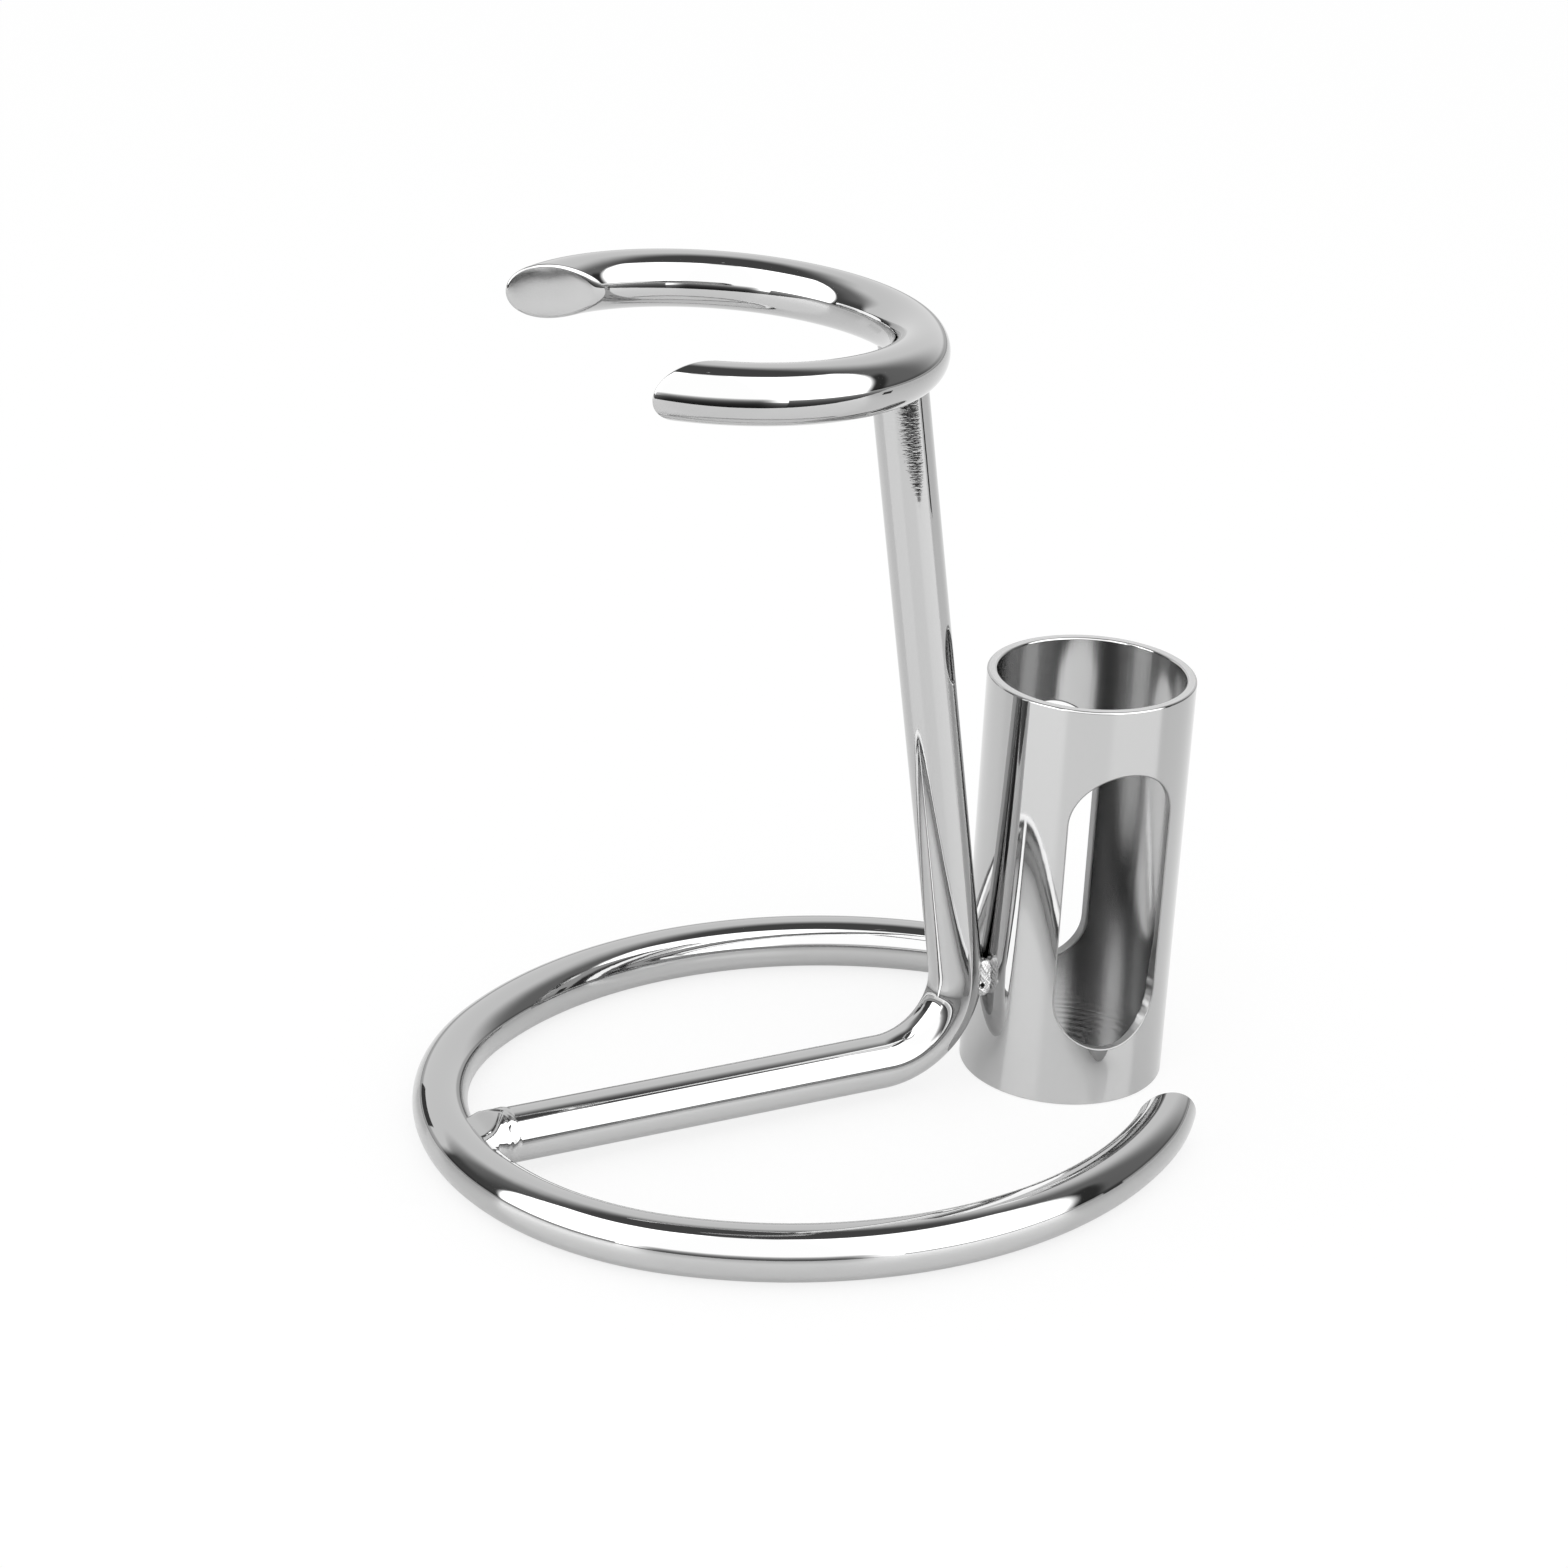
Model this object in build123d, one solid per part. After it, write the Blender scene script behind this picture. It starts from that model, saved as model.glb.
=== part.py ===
from build123d import *
import os
from math import cos, radians, sin, sqrt, tan

# Stand for a shaving brush and a razor: bent round bar and a slotted tube, welded and chrome-plated.
# Millimetres. +X runs along the spoke from the base ring's closed end towards the tube, +Z is up.
# The origin is the centre of the base ring's oval, on the counter.

# ---------------------------------------------------------------- driving dimensions
# round bar
base_bar_d = 6.35           # bar of the base ring
upright_bar_d = 6.35        # bar of the spoke and post
brush_bar_d = 6.35          # bar of the brush ring
bar_end_break = 0.3         # broken edge at the base ring's cut ends

# base ring, an oval of four tangent arcs on the bar's centreline
base_length = 87.5          # centreline, along X
base_width = 74.0           # centreline, along Y
base_end_turn = 53.0        # degrees from the X axis to where an end arc meets a side arc
gap_width = 44.8            # between the cut ends, where they cross the centreline
gap_flare = 10.6            # degrees that each cut opens outwards

# upright: spoke, bend and post, one bar in the plane Y = 0
spoke_height = 4.3          # spoke axis above the counter
post_foot_x = 20.45         # where the spoke's and the post's axes cross
post_lean = 9.56            # degrees from vertical, towards -X
bend_radius = 9.5           # on the bar's axis
spoke_seat_gap = 0.02       # spoke's end to the inner side of the base ring
post_seat_depth = 1.6       # how far the coped post end reaches up beside the brush ring

# brush ring
ring_radius = 21.6          # centreline
ring_height = 95.7          # ring centre above the counter
ring_tilt = 2.14            # degrees, the mouth end is the higher one
ring_past_post = 0.3        # ring centreline to post axis where they meet
mouth_width = 33.6          # between the cut planes at the ring's centre
mouth_flare = 6.4           # degrees that each cut opens outwards
mouth_cant = 8.7            # degrees that both cuts lean, seen along the mouth
mouth_end_break = 0.3       # broken edge at the two cut ends

# razor tube
tube_od = 24.34
tube_wall = 1.2
tube_height = 50.25
tube_seat_gap = 0.14        # tube to the outer side of the bend
tube_rim_break = 0.25       # broken edges of the upper rim
floor_thickness = 1.25
floor_rebate = 0.3          # step in the tube's wall that the floor disc is let into
floor_gap = 0.02            # floor disc to the rebate's wall

# slots through the front and back of the tube
slot_width = 12.7
slot_bottom = 7.3           # above the tube's lower edge
slot_top_margin = 8.0       # below the tube's upper edge
slot_turn = 6.7             # degrees that the slots stand off square

# weld beads
base_weld_rise = 0.95       # above the spoke's surface
ring_weld_rise = 0.55       # above the post's surface
tube_weld_length = 5.4
tube_weld_radius = 1.15     # the bead's round back
tube_weld_sit = 0.5         # bead's axis above the bar's and the tube's surface
tube_weld_lift = 0.9        # bead's middle above the bend's outermost point

# ---------------------------------------------------------------- derived sizes
base_r = base_bar_d / 2
upright_r = upright_bar_d / 2
brush_r = brush_bar_d / 2
tube_outer_r = tube_od / 2
tube_inner_r = tube_outer_r - tube_wall
half_length = base_length / 2
half_width = base_width / 2

# oval: end arcs about (+-end_centre, 0), side arcs about (0, -+side_centre), tangent where they meet.
# A side arc's crown stands side_share * end_centre further out than the end arcs' radius.
side_share = (1 - sin(radians(base_end_turn))) / cos(radians(base_end_turn))
base_end_radius = (half_width - half_length * side_share) / (1 - side_share)
end_centre = half_length - base_end_radius
side_centre = end_centre * tan(radians(base_end_turn))
side_radius = half_width + side_centre

# upright: bend between the spoke, which runs along +X, and the post
bend_turn = 90 + post_lean
bend_tangent = bend_radius * tan(radians(bend_turn / 2))
bend_start_x = post_foot_x - bend_tangent
bend_centre_z = spoke_height + bend_radius
bend_out_x = bend_start_x + bend_radius
post_dir = Vector(-sin(radians(post_lean)), 0, cos(radians(post_lean)))
post_start = Vector(post_foot_x, 0, spoke_height) + post_dir * bend_tangent
spoke_start_x = -half_length + base_r + spoke_seat_gap

# brush ring: its lowest line at the back lies over the post's axis
ring_back_z = ring_height - ring_radius * sin(radians(ring_tilt))
post_x_at_ring = post_foot_x - (ring_back_z - spoke_height) * tan(radians(post_lean))
ring_x = post_x_at_ring + ring_past_post - ring_radius * cos(radians(ring_tilt))
post_length = (ring_back_z - brush_r - post_start.Z) / post_dir.Z + post_seat_depth

# tube: beside the outermost point of the bend
tube_x = bend_out_x + upright_r + tube_seat_gap + tube_outer_r
slot_height = tube_height - slot_bottom - slot_top_margin
slot_middle = slot_bottom + slot_height / 2


# ---------------------------------------------------------------- helpers
def bar_arc(radius, bar_r, start, turn, centre_x=0.0, centre_y=0.0):
    """Piece of round bar bent about an upright axis, from the angle start on by turn degrees."""
    section = Plane.XZ * Pos(radius, 0) * Circle(bar_r)
    piece = revolve(section, axis=Axis.Z, revolution_arc=turn)
    return Pos(centre_x, centre_y, 0) * Rot(0, 0, start) * piece


def flared_block(width, flare, reach, height):
    """Block along +X from the origin, width wide there, each side opening by flare degrees."""
    near = width / 2
    far = near + reach * tan(radians(flare))
    outline = make_face(Polyline((0, -near), (reach, -far), (reach, far), (0, near), close=True))
    return extrude(outline, amount=height / 2, both=True)


def above_counter(shape):
    """The shape without anything that would reach below the counter."""
    box = shape.bounding_box()
    below = Box(2 * box.size.X, 2 * box.size.Y, box.size.Z, align=(Align.CENTER, Align.CENTER, Align.MAX))
    return shape - Pos(box.center().X, box.center().Y, 0) * below


def upright_cylinder(radius, height, x=0.0):
    """Cylinder that stands on the counter with its axis at x."""
    return Pos(x, 0, 0) * Cylinder(radius, height, align=(Align.CENTER, Align.CENTER, Align.MIN))


def main_solid(shape):
    """The one solid that counts, without slivers that a cut may leave beside it."""
    return max(shape.solids(), key=lambda solid: solid.volume)


# ---------------------------------------------------------------- base ring
closed_end = bar_arc(base_end_radius, base_r, 180 - base_end_turn, 2 * base_end_turn, -end_centre)
open_end = bar_arc(base_end_radius, base_r, -base_end_turn, 2 * base_end_turn, end_centre)
side_turn = 180 - 2 * base_end_turn
back_side = bar_arc(side_radius, base_r, base_end_turn, side_turn, 0, -side_centre)
front_side = bar_arc(side_radius, base_r, 180 + base_end_turn, side_turn, 0, side_centre)
oval = Pos(0, 0, base_r) * (closed_end + back_side + open_end + front_side)

# the cuts cross the centreline gap_width apart; gap_x is where that is on the open end's arc
gap_x = end_centre + sqrt(base_end_radius**2 - (gap_width / 2) ** 2)
gap_at_centre = gap_width - 2 * gap_x * tan(radians(gap_flare))
gap_block = flared_block(gap_at_centre, gap_flare, half_length + base_bar_d, 4 * base_bar_d)
base_ring = main_solid(oval - gap_block)
cut_faces = base_ring.faces().filter_by(GeomType.PLANE).sort_by(Axis.X)[-2:]
base_ring = chamfer(cut_faces.edges(), bar_end_break)

# ---------------------------------------------------------------- brush ring
ring_place = Pos(ring_x, 0, ring_height) * Rot(0, ring_tilt, 0)
mouth_block = Rot(mouth_cant, 0, 0) * Rot(0, 0, 180) * flared_block(
    mouth_width, mouth_flare, ring_radius + brush_bar_d, 4 * brush_bar_d
)
full_ring = Torus(ring_radius, brush_r)
open_ring = main_solid(full_ring - mouth_block)
open_ring = chamfer(open_ring.faces().filter_by(GeomType.PLANE).edges(), mouth_end_break)
brush_ring = ring_place * open_ring

# ---------------------------------------------------------------- upright bar
spoke = Pos(spoke_start_x, 0, spoke_height) * Rot(0, 90, 0) * Cylinder(
    upright_r, bend_start_x - spoke_start_x, align=(Align.CENTER, Align.CENTER, Align.MIN)
)
bend_section = Plane.YZ * Circle(upright_r)
bend = revolve(bend_section, axis=Axis((0, 0, bend_radius), (0, -1, 0)), revolution_arc=bend_turn)
bend = Pos(bend_start_x, 0, spoke_height) * bend
post = Plane(origin=post_start, x_dir=(0, 1, 0), z_dir=post_dir).location * Cylinder(
    upright_r, post_length, align=(Align.CENTER, Align.CENTER, Align.MIN)
)
upright_blank = spoke + bend + post
upright_bar = main_solid(upright_blank - oval - ring_place * full_ring)

# ---------------------------------------------------------------- razor tube and its floor
tube_body = upright_cylinder(tube_outer_r, tube_height, tube_x)
tube_bore = upright_cylinder(tube_inner_r, tube_height, tube_x)
rebate_r = tube_inner_r + floor_rebate
tube_pipe = tube_body - tube_bore - upright_cylinder(rebate_r, floor_thickness, tube_x)
tube_pipe = chamfer(tube_pipe.edges().group_by(Axis.Z)[-1], tube_rim_break)
slot_shape = Plane.XZ * Rot(0, 0, 90) * SlotOverall(slot_height, slot_width)
slot_cut = extrude(slot_shape, amount=tube_od, both=True)
slot_cut = Pos(tube_x, 0, slot_middle) * Rot(0, 0, -slot_turn) * slot_cut
razor_tube = main_solid(tube_pipe - slot_cut)

tube_floor = upright_cylinder(rebate_r - floor_gap, floor_thickness, tube_x)

# ---------------------------------------------------------------- weld beads
base_bead = Pos(-half_length + base_r, 0, spoke_height) * Sphere(upright_r + base_weld_rise)
base_weld = main_solid(above_counter(base_bead - oval - upright_bar))

ring_seat = post_start + post_dir * ((ring_back_z - brush_r - post_start.Z) / post_dir.Z)
ring_bead = Location(ring_seat) * Sphere(upright_r + ring_weld_rise)
ring_weld = main_solid(ring_bead - brush_ring - upright_bar)

# each tube bead lies in the groove, equally far out of the bar's and the tube's surface
span = tube_x - bend_out_x
from_bar = upright_r + tube_weld_sit
from_tube = tube_outer_r + tube_weld_sit
bead_along = (span**2 + from_bar**2 - from_tube**2) / (2 * span)
bead_aside = sqrt(from_bar**2 - bead_along**2)
bead_middle = Cylinder(tube_weld_radius, tube_weld_length - 2 * tube_weld_radius)
bead_end = Pos(0, 0, tube_weld_length / 2 - tube_weld_radius) * Sphere(tube_weld_radius)
tube_bead = bead_middle + bead_end + bead_end.mirror(Plane.XY)


def groove_weld(side):
    """Bead between the bend and the tube, on the side -1 (front) or +1 (back)."""
    placed = Pos(bend_out_x + bead_along, side * bead_aside, bend_centre_z + tube_weld_lift) * tube_bead
    return main_solid(placed - upright_bar - tube_body)


# ---------------------------------------------------------------- one file per piece
pieces = {
    "base_ring": base_ring,
    "upright_bar": upright_bar,
    "brush_ring": brush_ring,
    "razor_tube": razor_tube,
    "tube_floor": tube_floor,
    "base_weld": base_weld,
    "ring_weld": ring_weld,
    "tube_weld_front": groove_weld(-1),
    "tube_weld_back": groove_weld(1),
}

os.makedirs("parts", exist_ok=True)
for name, piece in pieces.items():
    export_step(piece, f"parts/{name}.step")
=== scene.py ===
from math import atan2, cos, pi, radians, sin, sqrt, tan
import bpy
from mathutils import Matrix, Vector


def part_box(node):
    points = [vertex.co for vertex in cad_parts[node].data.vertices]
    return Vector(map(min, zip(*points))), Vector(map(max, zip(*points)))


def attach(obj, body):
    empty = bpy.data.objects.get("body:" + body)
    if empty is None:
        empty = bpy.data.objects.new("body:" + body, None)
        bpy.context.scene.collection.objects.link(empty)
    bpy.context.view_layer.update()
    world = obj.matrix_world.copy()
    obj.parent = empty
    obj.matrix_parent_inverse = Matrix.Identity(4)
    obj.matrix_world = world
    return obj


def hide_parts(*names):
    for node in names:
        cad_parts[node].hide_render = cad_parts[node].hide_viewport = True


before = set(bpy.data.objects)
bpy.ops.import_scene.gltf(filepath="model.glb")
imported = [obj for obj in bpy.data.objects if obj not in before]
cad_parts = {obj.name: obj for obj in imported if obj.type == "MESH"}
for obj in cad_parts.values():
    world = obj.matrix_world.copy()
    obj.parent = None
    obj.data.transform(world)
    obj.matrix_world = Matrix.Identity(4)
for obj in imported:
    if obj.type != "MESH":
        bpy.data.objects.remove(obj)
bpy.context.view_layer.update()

from types import SimpleNamespace

import bpy
import numpy as np
from bpy.props import FloatProperty, FloatVectorProperty, IntProperty, PointerProperty
from mathutils import Matrix, Vector

# Looks of a stand for a shaving brush and a razor: bent round bar and a slotted tube, welded and
# chrome-plated. Metres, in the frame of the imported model: +X along the spoke from the base ring's
# closed end to the tube, +Z up, origin on the counter in the middle of the base ring's oval.

bl_info = {
    "name": "Shaving Stand",
    "version": (1, 0, 0),
    "blender": (4, 5, 0),
    "location": "3D View > Sidebar > Stand",
    "description": "Builds a chrome-plated stand for a shaving brush and a razor, and its studio",
    "category": "Add Mesh",
}

MM = 0.001
BODY = "root"
BASE_LOW, BASE_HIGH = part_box("base_ring")
TUBE_LOW, TUBE_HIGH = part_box("razor_tube")
FLOOR_LOW, FLOOR_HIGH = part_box("tube_floor")
SAME_POINT = 1e-7  # points nearer than this are one vertex
CUT_DOME = 0.22  # how far the normals lean out at the edge of a buffed cut, as a sine
HALVINGS = 44  # of the span in which a line's end is looked for
BEND_WRINKLE = 0.004 * MM
NECK_TURN = radians(150)  # direction in which the post's top is ground back, from the outer side
NECK_LENGTH = 4 * MM  # distances below the ring at which the grinding begins and is at its deepest
NECK_FULL = 0.5 * MM
FILED_TOP = 13 * MM  # above the front slot's lower end: where the filing begins and where it is full
FILED_FULL = 6 * MM
FILED_BREAK = 0.3 * MM  # by which the filing narrows the rounding of the inner edge
HANDLING = 9 * MM  # distance over which the gloss of the plate wanders
DISC_BAND = 1.4 * MM  # distance between the turning marks on the floor disc
SOFTBOX_GLOW = 1.95
CARD_DARKEST = 0.02
WORLD_FILL = 0.95
COUNTER_TURN = radians(-14)  # direction in which the counter's front edge lies
COUNTER_GLOSS = 0.7
LAMP_PLACE = (-0.28, -0.45, 0.75)
LAMP_AIM = (0, 0, 0.04)
LAMP_SIZE = 0.7
LAMP_POWER = 1.2  # watts
SENSOR_WIDTH = 36  # millimetres
LINISHED_FROM = 75.5 * MM  # heights between which the post's scratches grow to full strength
LINISHED_TO = 82.0 * MM
SCRATCH = 0.24 * MM  # distance between the scratches

# sine waves of an uneven surface: height, turn along u, turn along v, and share of the seed
WAVES = (
    (0.42, 2.1, 1.3, 1.0), (0.30, 3.7, -2.9, 2.3), (0.22, -5.3, 4.1, 0.7), (0.16, 8.9, 6.7, 3.1),
    (0.10, -13.1, 11.3, 1.9),
)

# dark flags: direction in degrees, and distance, width, foot and head in millimetres
FLAGS = {
    "studio_left_flag": (-159.5, 570, 185, 45, 145),
    "studio_right_flag": (61.5, 275, 32, 0, 30),
}

# plated finishes: colour, roughness and how far it wanders, length in millimetres and slope of the
# waves in the plate, and the waves' scale along each axis
PLATED = {
    # drawn and buffed steel bar under bright chrome: a hard mirror whose edges waver a little
    "chrome_plated_bar": ("chrome", 0.035, 0.015, 3.0, 0.004, (1, 1, 1)),
    # the same bar, whose top was linished for the weld: furry cross scratches there, a mirror below
    "chrome_plated_linished_bar": ("chrome", 0.035, 0.015, 3.0, 0.004, (1, 1, 1)),
    # sawn and buffed bar end under chrome: a soft grey sheen without a mirror image
    "satin_chrome_cut": ("cut", 0.24, 0.03, 0.6, 0.01, (1, 1, 0.3)),
    # turned rim under chrome: a pale sheen that shows the backdrop as one tone
    "satin_chrome_rim": ("rim", 0.3, 0.03, 0.35, 0.015, (1, 1, 1)),
    # punched and filed edge of the slots under chrome: file marks break the image to one grainy tone
    "satin_chrome_slot": ("slot", 0.42, 0.05, 0.25, 0.16, (1, 1, 1)),
    # drawn tube, buffed and chrome-plated: a mirror with faint draw lines along the tube
    "chrome_plated_tube": ("chrome", 0.04, 0.015, 1.6, 0.008, (1, 1, 0.04)),
    # inside of the drawn tube, plated but not buffed: a mirror image blurred to soft upright bands
    "plated_drawn_bore": ("bore", 0.18, 0.02, 0.9, 0.02, (1, 1, 0.05)),
    # brazed bead under chrome: bright, but broken up by its fine crinkles
    "chrome_plated_weld": ("chrome", 0.06, 0.02, 0.5, 0.08, (1, 1, 1)),
}


def linear(hex_colour):
    """sRGB hex as linear RGB: c / 12.92 up to 0.04045, and ((c + 0.055) / 1.055) ** 2.4 above it."""
    srgb = np.array([int(hex_colour[i:i + 2], 16) for i in (1, 3, 5)]) / 255
    return tuple(np.where(srgb <= 0.04045, srgb / 12.92, ((srgb + 0.055) / 1.055) ** 2.4).tolist())


def length(name, description, millimetres, low=0.0):
    return FloatProperty(
        name=name, description=description, default=millimetres * MM, min=low, precision=5,
        subtype="DISTANCE", unit="LENGTH",
    )


def share(name, description, default):
    return FloatProperty(
        name=name, description=description, default=default, min=0.0, max=1.0, subtype="FACTOR",
    )


def angle(name, description, default):
    return FloatProperty(
        name=name, description=description, default=radians(default), subtype="ANGLE", unit="ROTATION",
    )


def colour(name, description, hex_colour):
    return FloatVectorProperty(
        name=name, description=description, default=linear(hex_colour), size=3, min=0.0, max=1.0,
        subtype="COLOR",
    )


# ---------------------------------------------------------------- sizes and colours
class StandSizes(bpy.types.PropertyGroup):
    """Sizes of the bars and rings."""

    bar_radius: length("Bar radius", "Radius of the round bar", (BASE_HIGH.z - BASE_LOW.z) / 2 / MM)
    end_break: length("End break", "Broken edge at the bars' cut ends", 0.3)
    base_end_turn: angle("Base end turn", "From the X axis to where an end arc meets a side arc", 53.0)
    gap_width: length("Gap width", "Between the base ring's cut ends on the centreline", 44.8)
    gap_flare: angle("Gap flare", "How far each cut of the base ring opens outwards", 10.6)
    spoke_height: length("Spoke height", "Spoke axis above the counter", 4.3)
    post_foot: length("Post foot", "Where the axes of the spoke and the post cross", 20.45)
    post_lean: angle("Post lean", "Lean of the post from vertical", 9.56)
    bend_radius: length("Bend radius", "Bend between spoke and post, on the axis", 9.5)
    post_reach: length("Post reach", "How far the coped post end reaches up beside the ring", 1.6)
    post_neck: length("Post neck", "How far the post's top is ground back on its inner side", 1.2)
    spoke_melt: length("Spoke melt", "How far the spoke's top is melted back at the base weld", 2.2)
    ring_radius: length("Brush ring radius", "Centreline of the brush ring", 21.6)
    ring_height: length("Brush ring height", "Centre of the brush ring above the counter", 95.7)
    ring_tilt: angle("Brush ring tilt", "The mouth end is the higher one", 2.14)
    ring_past_post: length("Ring past post", "Ring centreline to post axis where they meet", 0.3)
    mouth_width: length("Mouth width", "Between the cuts at the middle of the brush ring", 33.6)
    mouth_flare: angle("Mouth flare", "How far each cut of the brush ring opens outwards", 6.4)
    mouth_cant: angle("Mouth cant", "Lean of both cuts, seen along the mouth", 8.7)


class TubeSizes(bpy.types.PropertyGroup):
    """Sizes of the razor tube."""

    wall: length("Wall", "Thickness of the tube's wall", 1.2)
    rebate: length("Rebate", "Step in the wall that the floor disc is let into", 0.3)
    rim_break: length("Rim break", "Rounding of the rim's edges", 0.25)
    slot_width: length("Slot width", "Width of the round-ended slots", 12.7)
    slot_bottom: length("Slot bottom", "Lower end of the slots above the tube's foot", 7.3)
    slot_top_margin: length("Slot top margin", "Upper end of the slots below the rim", 8.0)
    slot_turn: angle("Slot turn", "How far the slots stand off square", 6.7)
    slot_break: length("Slot break", "Rounding of the slots' outer edges", 0.2)
    slot_inner_break: length("Slot inner break", "Rounding of the slots' inner edges", 0.5)
    burr: length("Burr", "How far the filed wall slants inwards at the front slot's lower right", 0.42)


class WeldSizes(bpy.types.PropertyGroup):
    """Sizes of the weld beads."""

    base_rise: length("Base weld rise", "Base weld's toe above the spoke's surface", 0.12)
    base_reach: length("Base weld reach", "Toe of the base weld from the ring's inner side", 3.1)
    ring_rise: length("Ring weld rise", "Ring weld above the post's surface", 0.2)
    ring_reach: length("Ring weld reach", "Toe of the ring weld below the ring", 0.45)
    bead_length: length("Tube weld length", "Length of each bead beside the tube", 4.85)
    bead_radius: length("Tube weld radius", "Round back of each bead beside the tube", 1.0)
    bead_sit: length("Tube weld sit", "Bead axis above the bar's and the tube's surface", 0.35)
    bead_lift: length("Tube weld lift", "Bead middle above the bend's outermost point", 0.25)
    bead_shift: length("Tube weld shift", "Bead's middle from the groove towards the bar", 0.35)
    pinhole: length("Pinhole", "Radius of the gas hole in the front bead", 0.27)
    pinhole_turn: angle("Pinhole turn", "The gas hole's direction, from straight ahead towards the bar", 28.0)
    pinhole_drop: length("Pinhole drop", "The gas hole below the bead's middle", 0.75)


class StandColours(bpy.types.PropertyGroup):
    """Colours of the metal and the studio."""

    chrome: colour("Chrome", "Polished chrome plate", "#BDBDBD")
    cut: colour("Cut ends", "Chrome plate on the bars' sawn and buffed ends", "#C4C4C4")
    rim: colour("Rim", "Chrome plate on the tube's turned rim", "#D2D2D2")
    slot: colour("Slot edge", "Chrome plate on the punched and filed slots", "#9C9C9C")
    bore: colour("Bore", "Chrome plate inside the tube", "#BDBDBD")
    # the pit's near black is painted shade of the deep gas hole, over the bare metal in it
    pit: colour("Pit", "Bare and burnt metal in the weld's gas hole", "#0C0B0B")
    counter: colour("Counter", "Pale floor", "#FEFEFE")


class StudioSizes(bpy.types.PropertyGroup):
    """Camera, surround, card and floor."""

    lens: FloatProperty(name="Lens", description="Focal length", default=84.207, unit="CAMERA")
    camera_x: length("Camera left", "Camera towards -X", 180.498)
    camera_y: length("Camera front", "Camera towards -Y", 333.072)
    camera_z: length("Camera height", "Camera above the counter", 207.082)
    camera_turn: angle("Camera turn", "Turn about Z from looking along +Y", -27.7406)
    camera_dip: angle("Camera dip", "How far the camera looks down", 23.6447)
    camera_roll: angle("Camera roll", "Roll about the line of sight", 2.8319)
    surround_radius: length("Surround radius", "Distance of the softbox and the backdrop", 850)
    surround_height: length("Surround height", "Centre of the surround above the counter", 50)
    counter_front: length("Counter front", "Front edge of the counter from the brush ring", 166)
    counter_reach: length("Counter reach", "How far the counter goes to the sides and back", 2500)
    white_seen: share("White seen", "Share of plain white in the counter that the camera sees", 0.8)
    white_reflected: share("White reflected", "Share of plain white in the counter that metal reflects", 0.3)
    card_distance: length("Card distance", "Card between the softboxes, from the stand", 400)
    card_width: length("Card width", "Width of the card between the softboxes", 560)
    card_low: length("Card foot", "Foot of the card, below the counter", -190, low=-1.0)
    card_high: length("Card top", "Top of the card", 102)
    card_half: length("Card half", "Height at which the card is as bright as a white wall", 80)
    card_fall: length("Card fall", "Drop in which the card's brightness falls to a third", 33)
    fine: IntProperty(name="Fineness", description="Share of full mesh density, in percent", default=100)


# ---------------------------------------------------------------- places worked out from the sizes
def layout():
    """Centres, angles and heights that the pieces share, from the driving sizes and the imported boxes."""
    s = bpy.context.scene.stand_sizes
    t = bpy.context.scene.tube_sizes
    p = SimpleNamespace(r=s.bar_radius)
    # the oval's four arcs, tangent where they meet
    half_length = -BASE_LOW.x - p.r
    half_width = BASE_HIGH.y - p.r
    side_share = (1 - sin(s.base_end_turn)) / cos(s.base_end_turn)
    p.end_radius = (half_width - half_length * side_share) / (1 - side_share)
    p.end_centre = half_length - p.end_radius
    p.side_centre = p.end_centre * tan(s.base_end_turn)
    p.side_radius = half_width + p.side_centre
    gap_x = p.end_centre + sqrt(p.end_radius**2 - s.gap_width**2 / 4)
    p.gap_at_centre = s.gap_width - 2 * gap_x * tan(s.gap_flare)
    # the bend and the post
    p.turn = pi / 2 + s.post_lean
    tangent = s.bend_radius * tan(p.turn / 2)
    p.bend_x = s.post_foot - tangent
    p.bend_z = s.spoke_height + s.bend_radius
    p.bend_out = p.bend_x + s.bend_radius
    p.along_post = np.array([-sin(s.post_lean), 0, cos(s.post_lean)])
    p.out_of_post = np.array([cos(s.post_lean), 0, sin(s.post_lean)])
    p.post_start = np.array([s.post_foot, 0, s.spoke_height]) + p.along_post * tangent
    p.spoke_x = -half_length + p.r
    # the brush ring
    back_z = s.ring_height - s.ring_radius * sin(s.ring_tilt)
    post_x = s.post_foot - (back_z - s.spoke_height) * tan(s.post_lean)
    p.ring_centre = np.array([post_x + s.ring_past_post - s.ring_radius * cos(s.ring_tilt), 0, s.ring_height])
    p.ring_x_axis = np.array([cos(s.ring_tilt), 0, -sin(s.ring_tilt)])
    p.ring_z_axis = np.array([sin(s.ring_tilt), 0, cos(s.ring_tilt)])
    p.seat = (back_z - p.r - p.post_start[2]) / p.along_post[2]
    # the tube
    p.tube_x = (TUBE_LOW.x + TUBE_HIGH.x) / 2
    p.outer = (TUBE_HIGH.x - TUBE_LOW.x) / 2
    p.inner = p.outer - t.wall
    p.tube_height = TUBE_HIGH.z
    p.floor_top = FLOOR_HIGH.z
    return p


# ---------------------------------------------------------------- meshes
def unit(vectors):
    """Each vector divided by its length."""
    return vectors / np.maximum(np.linalg.norm(vectors, axis=-1, keepdims=True), 1e-12)


def steps(count):
    """Count of points, in the share that the fineness asks for."""
    return max(4, round(count * bpy.context.scene.studio_sizes.fine / 100))


def column(low, high, count):
    """Evenly spaced values from low to high, as one column."""
    return np.linspace(low, high, steps(count))[:, None]


def circle(count):
    """Angles of evenly spaced points round a bar, as one row."""
    return np.linspace(0, 2 * pi, count, endpoint=False)[None, :]


def grid(x, y, z):
    """Points from coordinates that are numbers or arrays, spread over one another's rows and columns."""
    return np.stack(np.broadcast_arrays(x, y, z), axis=-1)


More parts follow.
